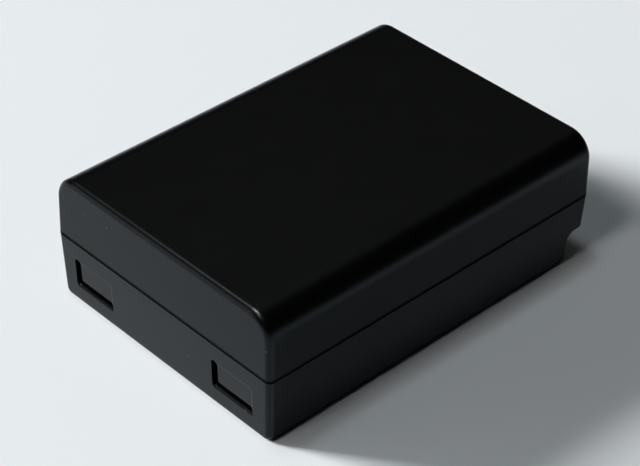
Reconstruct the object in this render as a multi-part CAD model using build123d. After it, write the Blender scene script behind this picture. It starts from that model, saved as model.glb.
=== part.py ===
from build123d import *
import os
from math import cos, radians, sin, tan

# Camera battery pack: two welded case halves round two flat cells and a protection board.
# Millimetres. The origin is the middle of the underside, with +Z up. +X points to the contact
# end, which goes into its bay first, and -X to the end with the two key slots.

# Case, overall
length = 50.4
width = 35.8
height = 17.0
seam_height = 8.9

# Case, mouldings
wall = 0.95
floor_wall = 0.9
roof_wall = 1.0
lower_draft = 2.1
upper_draft = 0.8
long_edge_radius = 3.15
bottom_edge_radius = 1.0
end_edge_radius = 0.75
inner_corner_radius = 0.4
inner_floor_radius = 0.8

# Shallow panel sunk in the underside
panel_margin = 4.0
panel_depth = 0.15
panel_radius = 1.5

# Seam: a tongue on the lower half in a recess of the upper half, with a fine groove outside
tongue_thickness = 0.35
tongue_height = 0.8
tongue_land = 0.1
tongue_clearance = 0.05
groove_width = 0.22
groove_depth = 0.2

# Rebate along the lower edge of the contact end
rebate_depth = 2.65
rebate_height = 4.0
rebate_inner_radius = 1.1
rebate_edge_radius = 0.5

# Key slots: two equal L shapes in the end wall, each with a closed pocket behind it
slot_length = 6.55
slot_height = 3.75
slot_width = 1.0
slot_depth = 2.0
slot_foot = 2.7
slot_side_margin = 2.85
slot_end_radius = 0.35
slot_outer_radius = 0.5
slot_inner_radius = 0.2
slot_foot_radius = 0.12
lip_radius = 0.35
lip_steps = 5
pocket_wall = 0.7

# Field of the end face inside each L, sunk a little, with sloping steps along its open sides
field_top_depth = 0.02
field_foot_depth = 0.06
field_step = 0.24

# Contacts and their windows in the end wall
contact_names = ["contact_negative", "contact_data", "contact_thermistor", "contact_positive"]
contact_pitch = 5.0
window_width = 2.6
window_rise = 0.25
window_top_margin = 0.9
window_radius = 0.3
contact_clearance = 0.2
contact_recess = 0.5
contact_edge_radius = 0.15
pin_width = 0.8
pin_thickness = 0.35
pin_inset = 0.2
pin_end = 0.3
pin_clearance = 0.1

# Cells, each a drawn can with its terminals on the end that faces the board
cell_side_clearance = 0.15
cell_side_radius = 2.3
cell_base_radius = 0.5
rivet_radius = 1.3
rivet_height = 0.5
weld_pad_size = 2.6
weld_pad_offset = 9.0
plug_radius = 0.8
plug_height = 0.15
plug_offset = 6.0

# Sheets and pads round the cells
bottom_tape_thickness = 0.2
cell_tape_thickness = 0.3
top_pad_thickness = 0.8
end_pad_thickness = 0.6
sheet_margin = 2.5
insulator_thickness = 0.2
insulator_margin = 0.5
insulator_clearance = 0.2

# Nickel strips and the thermal cut-off that joins two of them
strip_thickness = 0.15
strip_width = 2.6
midpoint_strip_width = 1.8
midpoint_offset = 3.0
strip_bend_radius = 0.4
strip_foot = 1.8
strip_clearance = 0.2
cut_off_width = 3.2
cut_off_length = 2.4
cut_off_thickness = 0.7
cut_off_lead = 1.0
link_gap = 1.2

# Circuit board, upright on the shelf over the rebate
board_thickness = 0.8
board_clearance = 0.1
board_side_clearance = 0.35
board_top_gap = 0.6
board_top_radius = 2.8
board_gap = 2.0
rib_thickness = 1.0
rib_reach = 1.3
rib_drop = 0.5
stop_width = 2.0
stop_inset = 4.5
stop_overlap = 1.2

# Parts soldered to the board
chip_length = 2.9
chip_width = 1.6
chip_height = 0.95
chip_standoff = 0.1
chip_edge = 0.12
lead_count = 3
lead_pitch = 0.95
lead_width = 0.4
lead_thickness = 0.15
lead_reach = 0.6
protection_chip_offset = -4.5
identity_chip_offset = 0.0
switch_pair_size = 3.0
switch_pair_height = 0.8
switch_pair_gap = 1.45
chip_row_drop = 2.0
chip_part_length = 1.6
chip_part_width = 0.8
chip_part_cap = 0.3
chip_part_step = 0.03
resistor_height = 0.45
resistor_offset = -5.0
capacitor_height = 0.8
capacitor_offset = 5.0
column_count = 3
column_pitch = 1.3
column_rise = 0.9
sense_resistor_length = 3.2
sense_resistor_width = 1.6
sense_resistor_height = 0.6
sense_resistor_offset = -11.0
thermistor_offset = 11.0

# Values that follow from the sizes above
half_length = length / 2
half_width = width / 2
lower_slope = tan(radians(lower_draft))
upper_slope = tan(radians(upper_draft))
tongue_inset = wall - tongue_land - tongue_thickness
tongue_radius = inner_corner_radius + tongue_land + tongue_thickness
slot_offset = half_width - slot_side_margin - slot_length / 2
end_foot_x = -half_length + seam_height * lower_slope
slot_face_x = end_foot_x - slot_foot * lower_slope
slot_bottom_x = end_foot_x + slot_depth
pocket_x = slot_bottom_x + pocket_wall
rebate_x = half_length - rebate_depth
shelf_top = rebate_height + wall
window_bottom = shelf_top + window_rise
window_height = seam_height - window_top_margin - window_bottom
window_middle = window_bottom + window_height / 2
contact_face_x = half_length - (seam_height - window_middle) * lower_slope - contact_recess
contact_height = window_height - 2 * contact_clearance
pin_spread = contact_height / 2 - pin_inset - pin_thickness / 2
shelf_inset = wall + (seam_height - shelf_top) * lower_slope
board_outer_x = half_length - shelf_inset - board_clearance
board_inner_x = board_outer_x - board_thickness
board_half_width = half_width - shelf_inset - board_side_clearance
board_top = height - roof_wall - board_top_gap
rib_x = board_inner_x - board_clearance - rib_thickness
stop_offset = board_half_width - stop_inset
switch_pair_offset = stop_offset - stop_width / 2 - switch_pair_gap - switch_pair_size / 2
strip_x = min(board_inner_x - board_gap, rebate_x - wall - strip_clearance - strip_thickness)
cell_front_x = strip_x - rivet_height
cell_back_x = pocket_x + end_pad_thickness
cell_half_width = half_width - wall - seam_height * lower_slope - cell_side_clearance
pads_thickness = bottom_tape_thickness + cell_tape_thickness + top_pad_thickness
cell_thickness = (height - roof_wall - floor_wall - pads_thickness) / 2
lower_cell_bottom = floor_wall + bottom_tape_thickness
lower_cell_middle = lower_cell_bottom + cell_thickness / 2
cell_tape_bottom = lower_cell_bottom + cell_thickness
upper_cell_bottom = cell_tape_bottom + cell_tape_thickness
upper_cell_middle = upper_cell_bottom + cell_thickness / 2
top_pad_bottom = upper_cell_bottom + cell_thickness
stack_middle = cell_tape_bottom + cell_tape_thickness / 2
chip_row = board_top - chip_row_drop


def outline(points, radii):
    """Face inside a closed line of points, each with its own corner radius."""
    return make_face(FilletPolyline(*points, radius=radii, close=True))


def upright(face, start_x, end_x):
    """Solid of a face drawn in Y and Z, run along X."""
    return extrude(Plane.YZ.offset(start_x) * face, end_x - start_x)


def sideways(face, middle_y, face_width):
    """Solid of a face drawn in X and Z, run the same way to both sides along Y."""
    return Pos(0, middle_y, 0) * extrude(Plane.XZ * face, face_width / 2, both=True)


def plate(inset, corner_radius, bottom, top):
    """Upright plate with the plan of the seam, set in from the outside."""
    plan = RectangleRounded(length - 2 * inset, width - 2 * inset, corner_radius)
    return extrude(Pos(0, 0, bottom) * plan, top - bottom)


def block(low, high):
    """Box between two opposite corners."""
    size = [end - start for start, end in zip(low, high)]
    return Pos(*low) * Box(*size, align=(Align.MIN, Align.MIN, Align.MIN))


def end_edges(part, end):
    """Edges round the end face of a case half, without those on the seam."""
    face = part.faces().sort_by(Axis.X)[end]
    return [edge for edge in face.edges() if abs(edge.center().Z - seam_height) > groove_width]


def upper_form(inset, top, corner_radius, end_radius):
    """Upper half of the case as a solid: its outside, or its hollow at an inset."""
    rise = top - seam_height
    half_y = half_width - inset
    half_x = half_length - inset
    lean = rise * upper_slope
    section = outline(
        [(-half_y, seam_height), (half_y, seam_height), (half_y - lean, top), (lean - half_y, top)],
        [0, 0, corner_radius, corner_radius],
    )
    side = outline(
        [(-half_x, seam_height), (half_x, seam_height), (half_x - lean, top), (lean - half_x, top)],
        [0, 0, 0, 0],
    )
    form = upright(section, -half_x, half_x) & sideways(side, 0, width)
    return fillet(end_edges(form, 0) + end_edges(form, -1), end_radius)


def lower_form(inset, bottom, corner_radius, end_radius):
    """Lower half of the case as a solid, with the rebate: its outside, or its hollow."""
    drop = seam_height - bottom
    half_y = half_width - inset
    half_x = half_length - inset
    step_x = rebate_x - inset
    step_z = rebate_height + inset
    lean = drop * lower_slope
    step_lean = (seam_height - step_z) * lower_slope
    section = outline(
        [(-half_y, seam_height), (lean - half_y, bottom), (half_y - lean, bottom), (half_y, seam_height)],
        [0, corner_radius, corner_radius, 0],
    )
    side = outline(
        [
            (-half_x, seam_height),
            (lean - half_x, bottom),
            (step_x, bottom),
            (step_x, step_z),
            (half_x - step_lean, step_z),
            (half_x, seam_height),
        ],
        [0, 0, 0, rebate_inner_radius + inset, 0, 0],
    )
    form = upright(section, -half_x, half_x) & sideways(side, 0, width)
    form = fillet(end_edges(form, 0), end_radius)
    corners = [edge for edge in end_edges(form, -1) if edge.center().Z > step_z + end_radius / 2]
    return fillet(corners, end_radius)


def round_rebate(form):
    """Round the edge that runs from the foot of the end face right round the rebate."""
    near_foot = half_length - end_edge_radius
    foot = [
        edge
        for edge in form.edges()
        if abs(edge.center().Z - rebate_height) < groove_width and edge.center().X > near_foot
    ]
    return fillet(foot, rebate_edge_radius)


def slot_outline(grow, drop):
    """L of a key slot about its own middle: grown for its pocket, or dropped at its lower lip."""
    side = slot_length / 2 + grow
    inner = slot_length / 2 - slot_width - grow
    foot = slot_foot - grow - drop
    step = slot_foot + slot_width + grow
    top = slot_foot + slot_height + grow
    end_radius = slot_end_radius + grow
    foot_radius = slot_foot_radius + grow
    inner_radius = max(slot_inner_radius - grow, 0)
    return outline(
        [(side, foot), (side, top), (inner, top), (inner, step), (-side, step), (-side, foot)],
        [slot_outer_radius + grow, end_radius, end_radius, inner_radius, end_radius, foot_radius],
    )


def make_slot():
    """What a key slot takes from the end wall: the L, with a rounded lip along its foot."""
    places = [(-half_length, lip_radius)]
    for step in range(lip_steps + 1):
        turn = radians(90 * step / lip_steps)
        places.append((slot_face_x + lip_radius * (1 - cos(turn)), lip_radius * (1 - sin(turn))))
    places.append((slot_bottom_x, 0))
    return loft([Plane.YZ.offset(x) * slot_outline(0, drop) for x, drop in places], ruled=True)


def make_field():
    """What the sunk field inside an L takes from the end face, in the plane of that face."""
    far = -slot_length / 2
    near = slot_length / 2 - slot_width / 2
    foot = slot_foot + slot_width / 2
    top = slot_foot + slot_height
    deep = field_foot_depth
    profile = outline(
        [(foot, -deep), (foot, deep), (top - field_step, field_top_depth), (top, 0), (top, -deep)],
        [0, 0, 0, 0, 0],
    )
    plan = outline(
        [(far, -deep), (far, 0), (far + field_step, deep), (near, deep), (near, -deep)],
        [0, 0, 0, 0, 0],
    )
    field = upright(profile, far, near) & sideways(plan, 0, 2 * top)
    return Plane((end_foot_x, 0, 0), x_dir=(0, 1, 0), z_dir=(1, 0, lower_slope)) * field


def contact_places():
    """Y of each contact, from -Y to +Y."""
    first = -(len(contact_names) - 1) / 2 * contact_pitch
    return [first + number * contact_pitch for number in range(len(contact_names))]


def pin_places(contact_y):
    """Y and Z of the two pins of one contact."""
    return [(contact_y, window_middle - pin_spread), (contact_y, window_middle + pin_spread)]


def make_upper_shell():
    outside = upper_form(0, height, long_edge_radius, end_edge_radius)
    hollow = upper_form(wall, height - roof_wall, long_edge_radius - wall, inner_corner_radius)
    recess_inset = tongue_inset - tongue_clearance
    recess_radius = tongue_radius + tongue_clearance
    recess_top = seam_height + tongue_height + tongue_clearance
    shell = outside - hollow - plate(recess_inset, recess_radius, seam_height, recess_top)
    for side in (-1, 1):
        middle_y = side * stop_offset
        shell += block(
            (rib_x, middle_y - stop_width / 2, board_top - stop_overlap),
            (rib_x + rib_thickness, middle_y + stop_width / 2, height - roof_wall / 2),
        )
    return shell


def make_lower_shell():
    outside = round_rebate(lower_form(0, 0, bottom_edge_radius, end_edge_radius))
    hollow = lower_form(wall, floor_wall, inner_floor_radius, inner_corner_radius)
    shell = outside - hollow
    tongue_top = seam_height + tongue_height
    shell += plate(tongue_inset, tongue_radius, seam_height, tongue_top) - plate(
        tongue_inset + tongue_thickness, tongue_radius - tongue_thickness, seam_height, tongue_top
    )
    groove_bottom = seam_height - groove_width
    groove_radius = end_edge_radius - groove_depth
    shell -= plate(-groove_depth, end_edge_radius, groove_bottom, seam_height) - plate(
        groove_depth, groove_radius, groove_bottom, seam_height
    )
    panel_length = rebate_x + half_length - 2 * panel_margin
    panel = RectangleRounded(panel_length, width - 2 * panel_margin, panel_radius)
    shell -= extrude(Pos((rebate_x - half_length) / 2, 0) * panel, panel_depth)
    for side in (-1, 1):
        place = Pos(0, side * slot_offset, 0)
        shell += place * upright(slot_outline(pocket_wall, 0), -half_length + wall, pocket_x)
        shell -= place * make_slot()
        shell -= place * make_field()
        rib_inner = side * (half_width - wall - rib_reach)
        rib_outer = side * (half_width - wall / 2)
        shell += block(
            (rib_x, min(rib_inner, rib_outer), rebate_height),
            (rib_x + rib_thickness, max(rib_inner, rib_outer), seam_height - rib_drop),
        )
    window = RectangleRounded(window_width, window_height, window_radius)
    for contact_y in contact_places():
        shell -= upright(Pos(contact_y, window_middle) * window, board_outer_x, half_length)
    return shell


def cell_section(inset):
    """Rounded section of a cell about its own middle."""
    radius = cell_side_radius - inset
    return RectangleRounded(2 * (cell_half_width - inset), cell_thickness - 2 * inset, radius)


def make_cell():
    """One cell about its own axis, with its weld pad on the +Y side."""
    can = upright(cell_section(0), cell_back_x, cell_front_x)
    can = fillet(can.faces().sort_by(Axis.X)[0].edges(), cell_base_radius)
    rivet = upright(Circle(rivet_radius), cell_front_x, strip_x)
    pad = upright(Pos(weld_pad_offset, 0) * Rectangle(weld_pad_size, weld_pad_size), cell_front_x, strip_x)
    plug = upright(Pos(-plug_offset, 0) * Circle(plug_radius), cell_front_x, cell_front_x + plug_height)
    return can + rivet + pad + plug


def make_insulator():
    """Paper sheet over the terminal end of one cell, with holes for what stands on it."""
    pad_hole = weld_pad_size + 2 * insulator_clearance
    face = cell_section(insulator_margin)
    face -= Circle(rivet_radius + insulator_clearance)
    face -= Pos(weld_pad_offset, 0) * Rectangle(pad_hole, pad_hole)
    face -= Pos(-plug_offset, 0) * Circle(plug_radius + insulator_clearance)
    return upright(face, cell_front_x, cell_front_x + insulator_thickness)


def lower_place(piece):
    return Pos(0, 0, lower_cell_middle) * piece


def upper_place(piece):
    """The upper cell lies the other way up, so its weld pad is on the -Y side."""
    return Pos(0, 0, upper_cell_middle) * Rot(180, 0, 0) * piece


def make_sheet(bottom, thickness):
    """Flat sheet on the level part of a cell."""
    reach_y = cell_half_width - sheet_margin
    return block(
        (cell_back_x + sheet_margin, -reach_y, bottom),
        (cell_front_x - sheet_margin, reach_y, bottom + thickness),
    )


def make_end_pad():
    reach_y = slot_offset + slot_length / 2
    return block((pocket_x, -reach_y, slot_foot), (cell_back_x, reach_y, upper_cell_middle))


def bent_strip(middle_y, face_width, back_x, start_z, turn_z):
    """Strip that lies on a terminal, bends across to the board and ends in a foot on it."""
    terminal_x = back_x + strip_thickness / 2
    board_x = board_inner_x - strip_thickness / 2
    path = FilletPolyline(
        (terminal_x, start_z),
        (terminal_x, turn_z),
        (board_x, turn_z),
        (board_x, turn_z + strip_foot),
        radius=strip_bend_radius,
    )
    return sideways(trace(path, strip_thickness), middle_y, face_width)


def make_negative_strip():
    start_z = lower_cell_middle - strip_width / 2
    turn_z = lower_cell_middle + rivet_radius + strip_bend_radius
    return bent_strip(0, strip_width, strip_x, start_z, turn_z)


def upper_strip(middle_y, face_width, back_x):
    """Strip from the level of the upper cell's terminals, bent below them."""
    start_z = upper_cell_middle + strip_width / 2
    turn_z = upper_cell_middle - strip_width / 2 - strip_bend_radius
    return bent_strip(middle_y, face_width, back_x, start_z, turn_z)


def make_positive_strip():
    return upper_strip(-weld_pad_offset, strip_width, strip_x)


def make_midpoint_strip():
    return upper_strip(midpoint_offset, midpoint_strip_width, strip_x + strip_thickness)


def make_lower_link():
    half = strip_width / 2
    return block(
        (strip_x, weld_pad_offset - half, lower_cell_middle - half),
        (strip_x + strip_thickness, weld_pad_offset + half, stack_middle - link_gap / 2),
    )


def make_upper_link():
    half = strip_width / 2
    far = weld_pad_offset + half
    top = upper_cell_middle + half
    face = outline(
        [
            (-half, top),
            (-half, top - strip_width),
            (far - strip_width, top - strip_width),
            (far - strip_width, stack_middle + link_gap / 2),
            (far, stack_middle + link_gap / 2),
            (far, top),
        ],
        [0, 0, strip_bend_radius, 0, 0, strip_bend_radius],
    )
    return upright(face, strip_x, strip_x + strip_thickness)


def make_cut_off():
    """Block over the gap between the two links, with a lead on the end of each."""
    back_x = strip_x + strip_thickness
    lead_half = cut_off_length / 2 + cut_off_lead
    body = block(
        (back_x, weld_pad_offset - cut_off_width / 2, stack_middle - cut_off_length / 2),
        (back_x + cut_off_thickness, weld_pad_offset + cut_off_width / 2, stack_middle + cut_off_length / 2),
    )
    leads = block(
        (back_x, weld_pad_offset - strip_width / 2, stack_middle - lead_half),
        (back_x + strip_thickness, weld_pad_offset + strip_width / 2, stack_middle + lead_half),
    )
    return body + leads


def make_board():
    half = board_half_width
    face = outline(
        [(-half, shelf_top), (half, shelf_top), (half, board_top), (-half, board_top)],
        [0, 0, board_top_radius, board_top_radius],
    )
    hole = Rectangle(pin_width + 2 * pin_clearance, pin_thickness + 2 * pin_clearance)
    for contact_y in contact_places():
        for place in pin_places(contact_y):
            face -= Pos(*place) * hole
    return upright(face, board_inner_x, board_outer_x)


def make_contact(contact_y):
    """Plate that stands in its window, with two pins through the board."""
    face = Rectangle(window_width - 2 * contact_clearance, contact_height)
    contact = upright(Pos(contact_y, window_middle) * face, board_outer_x, contact_face_x)
    contact = fillet(contact.faces().sort_by(Axis.X)[-1].edges(), contact_edge_radius)
    for place in pin_places(contact_y):
        pin = Pos(*place) * Rectangle(pin_width, pin_thickness)
        contact += upright(pin, board_inner_x - pin_end, board_outer_x)
    return contact


def make_chip(middle_y):
    """Small chip with a row of bent leads above and below it."""
    back_x = board_inner_x - chip_height
    base_x = board_inner_x - chip_standoff
    body = upright(Pos(middle_y, chip_row) * Rectangle(chip_length, chip_width), back_x, base_x)
    chip = chamfer(body.faces().sort_by(Axis.X)[0].edges(), chip_edge)
    lead_x = (back_x + base_x) / 2
    foot_x = board_inner_x - lead_thickness / 2
    first = middle_y - (lead_count - 1) / 2 * lead_pitch
    for side in (-1, 1):
        root = chip_row + side * (chip_width / 2 - lead_thickness)
        knee = chip_row + side * (chip_width / 2 + lead_reach / 2)
        end = chip_row + side * (chip_width / 2 + lead_reach)
        path = Polyline((lead_x, root), (lead_x, knee), (foot_x, knee), (foot_x, end))
        lead = trace(path, lead_thickness)
        for number in range(lead_count):
            chip += sideways(lead, first + number * lead_pitch, lead_width)
    return chip


def make_switch_pair():
    """Flat leadless chip, with its upper edges broken."""
    face = Pos(switch_pair_offset, chip_row) * Rectangle(switch_pair_size, switch_pair_size)
    body = upright(face, board_inner_x - switch_pair_height, board_inner_x)
    return chamfer(body.faces().sort_by(Axis.X)[0].edges(), chip_edge)


def chip_part(middle_y, middle_z, part_length, part_width, part_height):
    """Soldered resistor or capacitor: a bar with a slightly larger cap on each end."""
    step = chip_part_step
    bar = Rectangle(part_length - chip_part_cap, part_width - 2 * step)
    part = upright(Pos(middle_y, middle_z) * bar, board_inner_x - part_height + step, board_inner_x)
    cap = Rectangle(chip_part_cap, part_width)
    for side in (-1, 1):
        cap_y = middle_y + side * (part_length - chip_part_cap) / 2
        part += upright(Pos(cap_y, middle_z) * cap, board_inner_x - part_height, board_inner_x)
    return part


def chip_part_column(middle_y, part_height):
    """Column of equal small parts beside the contacts' pins."""
    first = shelf_top + column_rise
    heights = [first + number * column_pitch for number in range(column_count)]
    parts = [chip_part(middle_y, z, chip_part_length, chip_part_width, part_height) for z in heights]
    return Compound(children=parts)


def make_sense_resistor():
    return chip_part(
        sense_resistor_offset,
        window_middle,
        sense_resistor_length,
        sense_resistor_width,
        sense_resistor_height,
    )


def make_thermistor():
    return chip_part(
        thermistor_offset, window_middle, chip_part_length, chip_part_width, capacitor_height
    )


nodes = {
    "upper_shell": make_upper_shell(),
    "lower_shell": make_lower_shell(),
    "lower_cell": lower_place(make_cell()),
    "upper_cell": upper_place(make_cell()),
    "lower_insulator": lower_place(make_insulator()),
    "upper_insulator": upper_place(make_insulator()),
    "bottom_tape": make_sheet(floor_wall, bottom_tape_thickness),
    "cell_tape": make_sheet(cell_tape_bottom, cell_tape_thickness),
    "top_pad": make_sheet(top_pad_bottom, top_pad_thickness),
    "end_pad": make_end_pad(),
    "negative_strip": make_negative_strip(),
    "positive_strip": make_positive_strip(),
    "midpoint_strip": make_midpoint_strip(),
    "lower_link": make_lower_link(),
    "upper_link": make_upper_link(),
    "cut_off": make_cut_off(),
    "circuit_board": make_board(),
    "protection_chip": make_chip(protection_chip_offset),
    "identity_chip": make_chip(identity_chip_offset),
    "switch_pair": make_switch_pair(),
    "sense_resistor": make_sense_resistor(),
    "resistors": chip_part_column(resistor_offset, resistor_height),
    "capacitors": chip_part_column(capacitor_offset, capacitor_height),
    "thermistor": make_thermistor(),
}
for name, contact_y in zip(contact_names, contact_places()):
    nodes[name] = make_contact(contact_y)

os.makedirs("parts", exist_ok=True)
for name, shape in nodes.items():
    export_step(shape, f"parts/{name}.step")
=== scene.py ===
# %% [markdown]
# # A camera battery pack
# This lesson gives a finished look to a moulded battery pack whose solid pieces come from a CAD
# model. The pack is two welded case halves with flat cells, a small circuit board and gold-plated
# contacts inside. Every solid stays where the CAD model put it, in metres, with the middle of the
# underside at the origin and +Z up, so nothing has to be fitted. What is left to make is the
# camera, the light, the two soft foam pads and the surface of each material.

# %% Load the solid pieces
from math import cos, radians, sin, sqrt

import bmesh
import bpy
from mathutils import Matrix, Vector, noise


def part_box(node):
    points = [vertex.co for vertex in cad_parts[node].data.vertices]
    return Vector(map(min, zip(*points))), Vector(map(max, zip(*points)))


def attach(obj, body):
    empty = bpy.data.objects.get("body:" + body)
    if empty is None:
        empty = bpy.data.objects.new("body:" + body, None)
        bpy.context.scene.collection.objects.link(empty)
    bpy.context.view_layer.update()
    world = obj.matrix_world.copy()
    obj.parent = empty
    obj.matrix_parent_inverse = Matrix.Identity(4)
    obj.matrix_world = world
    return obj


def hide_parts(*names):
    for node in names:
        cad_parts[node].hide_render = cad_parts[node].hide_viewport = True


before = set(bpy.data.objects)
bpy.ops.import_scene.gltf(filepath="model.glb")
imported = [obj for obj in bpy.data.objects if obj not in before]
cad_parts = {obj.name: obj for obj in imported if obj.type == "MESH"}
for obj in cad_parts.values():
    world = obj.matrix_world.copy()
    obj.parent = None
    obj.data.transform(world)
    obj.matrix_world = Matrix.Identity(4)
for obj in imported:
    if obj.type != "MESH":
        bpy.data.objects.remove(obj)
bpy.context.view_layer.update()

scene = bpy.context.scene
print("pieces loaded:", len(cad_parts))

# %% [markdown]
# ## The camera
# The pack is photographed from above one corner with a long lens, so its edges run almost
# parallel. A camera can be aimed with a tracking constraint, but a plain turn and tilt is easier
# to read: start from the point that the camera looks at, step back along the viewing direction,
# shift a little across the picture, and roll the frame slightly.

# %% Place the camera
looked_at = Vector((0, 0, 0.008064))
turn = radians(-43.908)
tilt = radians(37.229)
roll = radians(1.157)
distance = 0.244494
across = -0.000818
upward = -0.001815
sensor_width = 36
focal_pixels = 2117.05
picture_pixels = 640

backward = Vector((sin(turn) * cos(tilt), -cos(turn) * cos(tilt), sin(tilt)))
level_right = Vector((cos(turn), sin(turn), 0))
level_up = backward.cross(level_right)
right = cos(roll) * level_right + sin(roll) * level_up
up = -sin(roll) * level_right + cos(roll) * level_up
eye = looked_at + distance * backward + across * right + upward * up

lens = bpy.data.cameras.new("camera")
lens.sensor_fit = "HORIZONTAL"
lens.sensor_width = sensor_width
lens.lens = sensor_width * focal_pixels / picture_pixels
lens.clip_start = 0.01
lens.clip_end = 10
camera = bpy.data.objects.new("camera", lens)
camera.matrix_world = Matrix((
    (right.x, up.x, backward.x, eye.x),
    (right.y, up.y, backward.y, eye.y),
    (right.z, up.z, backward.z, eye.z),
    (0, 0, 0, 1),
))
scene.collection.objects.link(camera)
scene.camera = camera
print("camera", round(distance * 1000), "mm away, lens", round(lens.lens, 1), "mm")

# %% [markdown]
# ## How a finish is started
# Every finish below is one shader with a few patterns plugged into it. The patterns could be
# painted as pictures, but a picture has one size and needs the surface unfolded. Noise that is
# fixed to the object in metres needs neither: a scale of 9000 simply means about nine grains to
# the millimetre.

# %% Helpers for finishes
pattern_low = 0.3
pattern_high = 0.7


def start_finish(name):
    """A new material, and its shader."""
    finish = bpy.data.materials.new(name)
    finish.use_nodes = True
    return finish, finish.node_tree.nodes["Principled BSDF"]


def surface_noise(finish, scale, detail=2, stretch=(1, 1, 1)):
    """Noise in grains per metre. A stretch below 1 draws the grains out along that axis."""
    tree = finish.node_tree
    place = tree.nodes.new("ShaderNodeTexCoord")
    drawn = tree.nodes.new("ShaderNodeMapping")
    drawn.inputs["Scale"].default_value = stretch
    grains = tree.nodes.new("ShaderNodeTexNoise")
    grains.inputs["Scale"].default_value = scale
    grains.inputs["Detail"].default_value = detail
    tree.links.new(place.outputs["Object"], drawn.inputs["Vector"])
    tree.links.new(drawn.outputs["Vector"], grains.inputs["Vector"])
    return grains.outputs["Fac"]


def colour_between(finish, shader, amount, first, second):
    """The colour goes from the first to the second as the pattern rises. Gives it back."""
    ramp = finish.node_tree.nodes.new("ShaderNodeValToRGB")
    ramp.color_ramp.elements[0].position = pattern_low
    ramp.color_ramp.elements[0].color = (*first, 1)
    ramp.color_ramp.elements[1].position = pattern_high
    ramp.color_ramp.elements[1].color = (*second, 1)
    finish.node_tree.links.new(amount, ramp.inputs["Fac"])
    finish.node_tree.links.new(ramp.outputs["Color"], shader.inputs["Base Color"])
    return ramp.outputs["Color"]


def roughness_between(finish, shader, amount, low, high):
    """The roughness goes from low to high as the pattern rises. Gives it back."""
    span = finish.node_tree.nodes.new("ShaderNodeMapRange")
    span.inputs["From Min"].default_value = pattern_low
    span.inputs["From Max"].default_value = pattern_high
    span.inputs["To Min"].default_value = low
    span.inputs["To Max"].default_value = high
    finish.node_tree.links.new(amount, span.inputs["Value"])
    finish.node_tree.links.new(span.outputs["Result"], shader.inputs["Roughness"])
    return span.outputs["Result"]


def combine(finish, operation, first, second):
    """One number worked out from two, each of them a pattern or a plain value."""
    both = finish.node_tree.nodes.new("ShaderNodeMath")
    both.operation = operation
    for socket, number in zip(both.inputs, (first, second)):
        if isinstance(number, bpy.types.NodeSocket):
            finish.node_tree.links.new(number, socket)
        else:
            socket.default_value = number
    return both.outputs["Value"]


def raise_grain(finish, shader, height, strength, depth):
    """The pattern stands up from the surface, at most depth metres."""
    bump = finish.node_tree.nodes.new("ShaderNodeBump")
    bump.inputs["Strength"].default_value = strength
    bump.inputs["Distance"].default_value = depth
    finish.node_tree.links.new(height, bump.inputs["Height"])
    finish.node_tree.links.new(bump.outputs["Normal"], shader.inputs["Normal"])


def dress(finish, *pieces):
    """Give the finish to CAD pieces, by name."""
    for piece in pieces:
        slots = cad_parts[piece].data.materials
        slots.clear()
        slots.append(finish)
    print(finish.name, "on", ", ".join(pieces))


# %% [markdown]
# ## The table and the light
# Black plastic has hardly any colour of its own: what the eye sees is mostly the room that it
# mirrors. The slot end mirrors the white table in full light, and the long side mirrors the pack's
# own shadow on the table, so one face is grey and the other nearly black. That makes the table the
# first thing to build.

# %% Make the table
table_half = 3.0
table_corners = [(-1, -1), (1, -1), (1, 1), (-1, 1)]
table_points = [(x * table_half, y * table_half, 0) for x, y in table_corners]
table_mesh = bpy.data.meshes.new("table")
table_mesh.from_pydata(table_points, [], [(0, 1, 2, 3)])
table = bpy.data.objects.new("table", table_mesh)
scene.collection.objects.link(table)
table_paint, shader = start_finish("table_paint")
shader.inputs["Base Color"].default_value = (0.888, 0.92, 0.939, 1)
shader.inputs["Roughness"].default_value = 0.9
shader.inputs["Specular IOR Level"].default_value = 0.0
table.data.materials.append(table_paint)
print("table", 2 * table_half, "m square")

# %% [markdown]
# Six square lamps light the pack. The strongest one, behind it to the left, makes the table white
# and throws the shadow towards the long side. It stands far off, so that the table under it isn't
# much brighter than the table round the pack. A photographer would shift it until no edge mirrors
# it; here it is simply kept out of the gloss, and so is the cool lamp overhead that fills the
# shadow. The others do show in the gloss. A soft panel at the left fades out along the rounded top
# edge of the slot end, a small lamp above it picks out the slots' corners, and a wide faint one
# gives the smooth top its even dark sheen. The remaining one leaves the table alone and makes the
# glint on the nearest corner. The plastic mirrors blue a little better than red, so these last two
# are warm, which keeps the top and the glint neutral.

# %% Hang the lamps
near = 0.9
far = 4.0
white = (1, 1, 1)
cool = (0.84, 0.94, 1)
warm = (1, 0.93, 0.84)
warmer = (1, 0.87, 0.77)
room_colour = (0.005, 0.005, 0.005, 1)


def add_lamp(name, compass, rise, reach, size, watts, on_table=True, in_gloss=True, colour=white):
    """A square soft lamp that faces the pack from that far. Its compass runs from +X to +Y."""
    level = reach * cos(radians(rise))
    spot = Vector((
        level * cos(radians(compass)),
        level * sin(radians(compass)),
        reach * sin(radians(rise)),
    ))
    lamp_data = bpy.data.lights.new(name, "AREA")
    lamp_data.shape = "SQUARE"
    lamp_data.size = size
    lamp_data.energy = watts
    lamp_data.color = colour
    lamp = bpy.data.objects.new(name, lamp_data)
    lamp.location = spot
    lamp.rotation_euler = (-spot).to_track_quat("-Z", "Y").to_euler()
    lamp.visible_diffuse = on_table
    lamp.visible_glossy = in_gloss
    scene.collection.objects.link(lamp)
    return lamp


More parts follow.
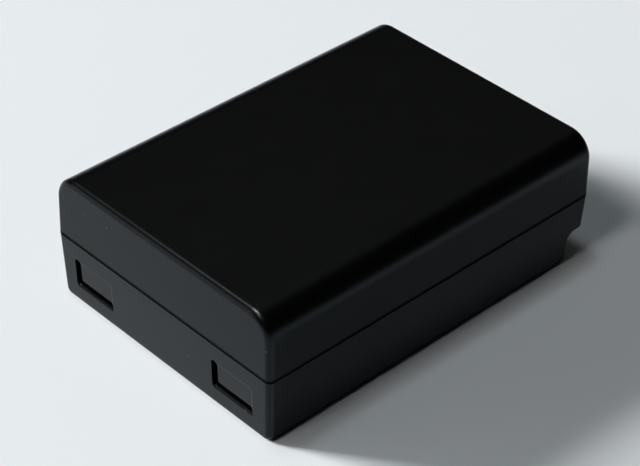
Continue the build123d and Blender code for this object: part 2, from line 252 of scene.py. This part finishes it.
lamps = [
    add_lamp("table_lamp", 122, 26, far, 0.88, 233, in_gloss=False),
    add_lamp("top_lamp", 112, 81, near, 0.12, 0.75, in_gloss=False, colour=cool),
    add_lamp("left_panel", 142, 14, near, 0.42, 0.8),
    add_lamp("left_lamp", 182, 56, near, 0.16, 1.15),
    add_lamp("glint_lamp", 122, 73, near, 0.34, 14.0, on_table=False, colour=warmer),
    add_lamp("sheen_lamp", 34, 51, near, 0.6, 0.14, colour=warm),
]
room = bpy.data.worlds.new("room")
room.use_nodes = True
room.node_tree.nodes["Background"].inputs["Color"].default_value = room_colour
scene.world = room
scene.view_settings.view_transform = "Standard"
print("lamps:", [lamp.name for lamp in lamps])

# %% [markdown]
# ## The case plastic
# Both case halves are moulded in black polycarbonate, in a mould whose walls were spark-eroded to
# a fine satin. The grain is about a tenth of a millimetre, too fine to see from here one by one,
# but it sets how far the gloss spreads. So the grain is a low bump, and the roughness wanders a
# little with where hands have rubbed the case. A moulding also cools unevenly, which leaves wide,
# hardly visible clouds in the black.

# %% Finish the case
case_dark = (0.0012, 0.0013, 0.0014)
case_light = (0.0018, 0.0019, 0.002)

case_plastic, shader = start_finish("case_plastic")
clouds = surface_noise(case_plastic, 220, detail=3)
clouded = colour_between(case_plastic, shader, clouds, case_dark, case_light)
rubbing = surface_noise(case_plastic, 130, detail=6)
rubbed = roughness_between(case_plastic, shader, rubbing, 0.28, 0.3)
satin = surface_noise(case_plastic, 9000)
raise_grain(case_plastic, shader, satin, 0.15, 0.00002)
shader.inputs["Specular IOR Level"].default_value = 0.195
shader.inputs["Specular Tint"].default_value = (0.7, 0.85, 1, 1)
dress(case_plastic, "upper_shell", "lower_shell")

# %% [markdown]
# A pack that has been used shows it in two places. Dull grime settles along the seam, and specks
# of dust stay on the slot end, which no sliding wipes clean. Both could be painted on, but each
# follows from its place: the grime from the height above or below the seam, and the dust from
# points scattered through space, of which only those show that happen to lie in the surface of
# that end.

# %% Measure along the case
case_tree = case_plastic.node_tree
place = case_tree.nodes.new("ShaderNodeTexCoord")
axes = case_tree.nodes.new("ShaderNodeSeparateXYZ")
case_tree.links.new(place.outputs["Object"], axes.inputs["Vector"])


def fade_out(finish, amount, start, end):
    """1 up to the start, 0 from the end, and a slope between them."""
    slope = finish.node_tree.nodes.new("ShaderNodeMapRange")
    slope.inputs["From Min"].default_value = start
    slope.inputs["From Max"].default_value = end
    slope.inputs["To Min"].default_value = 1
    slope.inputs["To Max"].default_value = 0
    finish.node_tree.links.new(amount, slope.inputs["Value"])
    return slope.outputs["Result"]


print("case pattern measured along", [axis.name for axis in axes.outputs])

# %% Add the grime
grime_height = 0.00898
grime_full = 0.0001
grime_gone = 0.00024
grime_roughness = 0.6

above_seam = combine(case_plastic, "SUBTRACT", axes.outputs["Z"], grime_height)
from_seam = combine(case_plastic, "ABSOLUTE", above_seam, 0)
grime = fade_out(case_plastic, from_seam, grime_full, grime_gone)
added = combine(case_plastic, "MULTIPLY", grime, grime_roughness)
dulled = combine(case_plastic, "ADD", rubbed, added)
case_tree.links.new(dulled, shader.inputs["Roughness"])
print("grime round the case at", grime_height * 1000, "mm")

# %% Add the dust
dust_per_metre = 440
dust_full = 0.03
dust_gone = 0.06
dust_limit = -0.0244
dust_colour = (0.08, 0.08, 0.076, 1)

points = case_tree.nodes.new("ShaderNodeTexVoronoi")
points.inputs["Scale"].default_value = dust_per_metre
case_tree.links.new(place.outputs["Object"], points.inputs["Vector"])
specks = fade_out(case_plastic, points.outputs["Distance"], dust_full, dust_gone)
on_end = combine(case_plastic, "LESS_THAN", axes.outputs["X"], dust_limit)
dust = combine(case_plastic, "MULTIPLY", specks, on_end)
dusty = case_tree.nodes.new("ShaderNodeMixRGB")
dusty.inputs["Color2"].default_value = dust_colour
case_tree.links.new(dust, dusty.inputs["Fac"])
case_tree.links.new(clouded, dusty.inputs["Color1"])
case_tree.links.new(dusty.outputs["Color"], shader.inputs["Base Color"])
print("dust on the end beyond", dust_limit * 1000, "mm")

# %% [markdown]
# ## The contacts
# Four flat contacts sit behind windows in the far end. They are stamped brass with a thin hard
# gold plating, which follows every rolling mark of the metal below. Gold is a metal in the
# shader's sense, so its colour is the colour of its mirror image. The marks run up the contact, so
# the noise is drawn out along Z.

# %% Finish the contacts
gold_plate, shader = start_finish("gold_plate")
plating = surface_noise(gold_plate, 1800, detail=3)
colour_between(gold_plate, shader, plating, (0.78, 0.56, 0.21), (0.87, 0.66, 0.29))
rolling = surface_noise(gold_plate, 16000, stretch=(1, 1, 0.06))
roughness_between(gold_plate, shader, rolling, 0.2, 0.34)
raise_grain(gold_plate, shader, rolling, 0.12, 0.00001)
shader.inputs["Metallic"].default_value = 1
dress(gold_plate, "contact_negative", "contact_data", "contact_thermistor", "contact_positive")

# %% [markdown]
# ## The cells
# Each cell is a can drawn from aluminium sheet. Drawing pulls the metal along the can and leaves
# long faint streaks, so the noise is drawn out along X, and the same streaks give the colour, the
# roughness and the relief.

# %% Finish the cells
cell_can, shader = start_finish("cell_can")
streaks = surface_noise(cell_can, 5200, detail=4, stretch=(0.03, 1, 1))
colour_between(cell_can, shader, streaks, (0.68, 0.69, 0.71), (0.76, 0.77, 0.79))
roughness_between(cell_can, shader, streaks, 0.3, 0.46)
raise_grain(cell_can, shader, streaks, 0.1, 0.00001)
shader.inputs["Metallic"].default_value = 1
dress(cell_can, "lower_cell", "upper_cell")

# %% [markdown]
# ## The nickel strips
# The strips that join the cells to the board are slit from rolled nickel. Rolling leaves fine
# lines, and the strips stand upright with the lines along them, so the noise is drawn out along Z.

# %% Finish the strips
nickel, shader = start_finish("nickel")
rolled = surface_noise(nickel, 14000, detail=3, stretch=(1, 1, 0.05))
colour_between(nickel, shader, rolled, (0.62, 0.6, 0.56), (0.7, 0.68, 0.64))
roughness_between(nickel, shader, rolled, 0.24, 0.38)
raise_grain(nickel, shader, rolled, 0.12, 0.00001)
shader.inputs["Metallic"].default_value = 1
dress(nickel, "negative_strip", "positive_strip", "midpoint_strip", "lower_link", "upper_link")

# %% [markdown]
# ## Paper and tape
# The sheets over the cells' ends are pressed vulcanised paper: matt, green, and flecked with short
# fibres. The cells are stuck down with double-sided tape, a cream film with a soft sheen and
# shallow ripples from being pressed on.

# %% Finish the paper sheets
insulator_paper, shader = start_finish("insulator_paper")
fibres = surface_noise(insulator_paper, 4200, detail=6, stretch=(1, 0.25, 1))
colour_between(insulator_paper, shader, fibres, (0.06, 0.17, 0.115), (0.1, 0.235, 0.165))
roughness_between(insulator_paper, shader, fibres, 0.72, 0.9)
raise_grain(insulator_paper, shader, fibres, 0.3, 0.00002)
dress(insulator_paper, "lower_insulator", "upper_insulator")

# %% Finish the tape
tape, shader = start_finish("tape")
ripples = surface_noise(tape, 420, detail=4)
colour_between(tape, shader, ripples, (0.77, 0.74, 0.65), (0.83, 0.81, 0.74))
roughness_between(tape, shader, ripples, 0.36, 0.52)
raise_grain(tape, shader, ripples, 0.25, 0.00003)
dress(tape, "bottom_tape", "cell_tape")

# %% [markdown]
# ## The circuit board and its parts
# The board is glass cloth in resin under a glossy green mask. The weave shows faintly through the
# mask: two sets of stripes, one for each direction of the threads, about two threads to the
# millimetre, multiplied together.

# %% Finish the board
board, shader = start_finish("board")
threads = []
for direction in ("Y", "Z"):
    place = board.node_tree.nodes.new("ShaderNodeTexCoord")
    stripes = board.node_tree.nodes.new("ShaderNodeTexWave")
    stripes.bands_direction = direction
    stripes.inputs["Scale"].default_value = 640
    stripes.inputs["Distortion"].default_value = 0.6
    stripes.inputs["Detail"].default_value = 1
    board.node_tree.links.new(place.outputs["Object"], stripes.inputs["Vector"])
    threads.append(stripes.outputs["Fac"])
weave = combine(board, "MULTIPLY", *threads)
colour_between(board, shader, weave, (0.016, 0.14, 0.058), (0.024, 0.18, 0.08))
roughness_between(board, shader, surface_noise(board, 900, detail=3), 0.18, 0.28)
raise_grain(board, shader, weave, 0.12, 0.00001)
dress(board, "circuit_board")

# %% [markdown]
# The chips are moulded in black epoxy filled with ground glass, which leaves a dull, even grain.
# The small resistors and capacitors are fired ceramic, brownish grey with darker specks.

# %% Finish the chips
chip_plastic, shader = start_finish("chip_plastic")
filler = surface_noise(chip_plastic, 15000, detail=3)
colour_between(chip_plastic, shader, filler, (0.024, 0.024, 0.026), (0.036, 0.036, 0.038))
roughness_between(chip_plastic, shader, filler, 0.5, 0.66)
raise_grain(chip_plastic, shader, filler, 0.2, 0.00001)
dress(chip_plastic, "protection_chip", "identity_chip", "switch_pair", "cut_off")

# %% Finish the ceramic parts
chip_ceramic, shader = start_finish("chip_ceramic")
fired = surface_noise(chip_ceramic, 7000, detail=5)
colour_between(chip_ceramic, shader, fired, (0.38, 0.31, 0.24), (0.51, 0.44, 0.36))
roughness_between(chip_ceramic, shader, fired, 0.34, 0.5)
raise_grain(chip_ceramic, shader, fired, 0.15, 0.00001)
dress(chip_ceramic, "sense_resistor", "resistors", "capacitors", "thermistor")

# %% [markdown]
# ## The foam pads
# Two die-cut foam pads take up the play: one over the upper cell and one behind both cells. Foam
# that is squeezed between two flat faces stays flat in the middle, rounds off towards its edges,
# and its sides pull in between the corners. A cloth simulation could swell a box into that shape,
# but for so thin a pad it is simpler and steadier to work the shape out: two grids, one for each
# face, that close up on each other along the edge.

# %% Work out the form of a pad
millimetre = 0.001
pad_gap = 0.02 * millimetre
pad_edge = 0.4 * millimetre
pad_pull = 0.3 * millimetre
pad_spacing = 0.8 * millimetre
pad_crown = 0.08
edge_steps = (0, 0.05, 0.15, 0.32, 0.6, 1)
pore_depth = 0.03
pores_per_metre = 1600


def pad_lines(low, high):
    """Grid lines from one side of a pad to the other, close together near the sides."""
    inward = [part * pad_edge for part in edge_steps]
    count = round((high - low) / pad_spacing)
    inner = high - low - 2 * pad_edge
    middle = [low + pad_edge + inner * step / count for step in range(1, count)]
    return [low + offset for offset in inward] + middle + [high - offset for offset in reversed(inward)]


def fullness(offset):
    """How full the pad is at that distance from its nearest side, from 0 at the side to 1."""
    short = 1 - min(offset / pad_edge, 1)
    return sqrt(max(0, 1 - short * short))


def pad_spot(along, over, side, half, first, second, thin_axis):
    """Where a point of one face of a pad goes, from the pad's middle."""
    u = along / half[first]
    w = over / half[second]
    full = fullness(min(half[first] - abs(along), half[second] - abs(over)))
    crown = 1 - pad_crown * (1 - (1 - u ** 4) * (1 - w ** 4))
    bubble = noise.noise(Vector((along, over, side * half[thin_axis])) * pores_per_metre)
    spot = Vector((0, 0, 0))
    spot[first] = along - pad_pull * u * (1 - w * w)
    spot[second] = over - pad_pull * w * (1 - u * u)
    spot[thin_axis] = side * half[thin_axis] * full * (crown - pore_depth * (1 + bubble))
    return spot


print("pads stay", pad_gap / millimetre, "mm clear of their neighbours")

# %% Make the pads
quad = ((0, 0), (1, 0), (1, 1), (0, 1))


def shape_pad(name, node, thin_axis):
    """A soft pad in the place of a CAD node. Its thickness is along the thin axis."""
    low, high = (Vector(corner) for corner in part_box(node))
    first, second = [axis for axis in range(3) if axis != thin_axis]
    middle = (low + high) / 2
    half = (high - low) / 2 - Vector((pad_gap, pad_gap, pad_gap))
    rows = pad_lines(-half[first], half[first])
    columns = pad_lines(-half[second], half[second])
    form = bmesh.new()
    grid = {}
    for side in (1, -1):
        for r, along in enumerate(rows):
            for c, over in enumerate(columns):
                on_edge = r in (0, len(rows) - 1) or c in (0, len(columns) - 1)
                if side == -1 and on_edge:
                    grid[side, r, c] = grid[1, r, c]
                    continue
                spot = pad_spot(along, over, side, half, first, second, thin_axis)
                grid[side, r, c] = form.verts.new(middle + spot)
        for r in range(len(rows) - 1):
            for c in range(len(columns) - 1):
                form.faces.new([grid[side, r + down, c + on] for down, on in quad])
    bmesh.ops.recalc_face_normals(form, faces=form.faces)
    mesh = bpy.data.meshes.new(name)
    form.to_mesh(mesh)
    form.free()
    mesh.shade_smooth()
    pad = bpy.data.objects.new(name, mesh)
    scene.collection.objects.link(pad)
    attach(pad, "root")
    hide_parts(node)
    print(name, "has", len(mesh.polygons), "faces")
    return pad


pads = [shape_pad("soft_top_pad", "top_pad", 2), shape_pad("soft_end_pad", "end_pad", 0)]

# %% [markdown]
# Foam is a mass of tiny bubbles. A pattern of cells, each about an eighth of a millimetre, makes
# the pits, and a little sheen stands for the torn bubble walls that catch the light at the rim.

# %% Finish the foam
foam, shader = start_finish("foam")
place = foam.node_tree.nodes.new("ShaderNodeTexCoord")
bubbles = foam.node_tree.nodes.new("ShaderNodeTexVoronoi")
bubbles.inputs["Scale"].default_value = 8000
foam.node_tree.links.new(place.outputs["Object"], bubbles.inputs["Vector"])
pits = bubbles.outputs["Distance"]
colour_between(foam, shader, pits, (0.048, 0.048, 0.052), (0.072, 0.072, 0.078))
roughness_between(foam, shader, pits, 0.82, 0.96)
raise_grain(foam, shader, pits, 0.6, 0.00006)
shader.inputs["Sheen Weight"].default_value = 0.15
shader.inputs["Specular IOR Level"].default_value = 0.25
for pad in pads:
    pad.data.materials.append(foam)
print("foam on", ", ".join(pad.name for pad in pads))
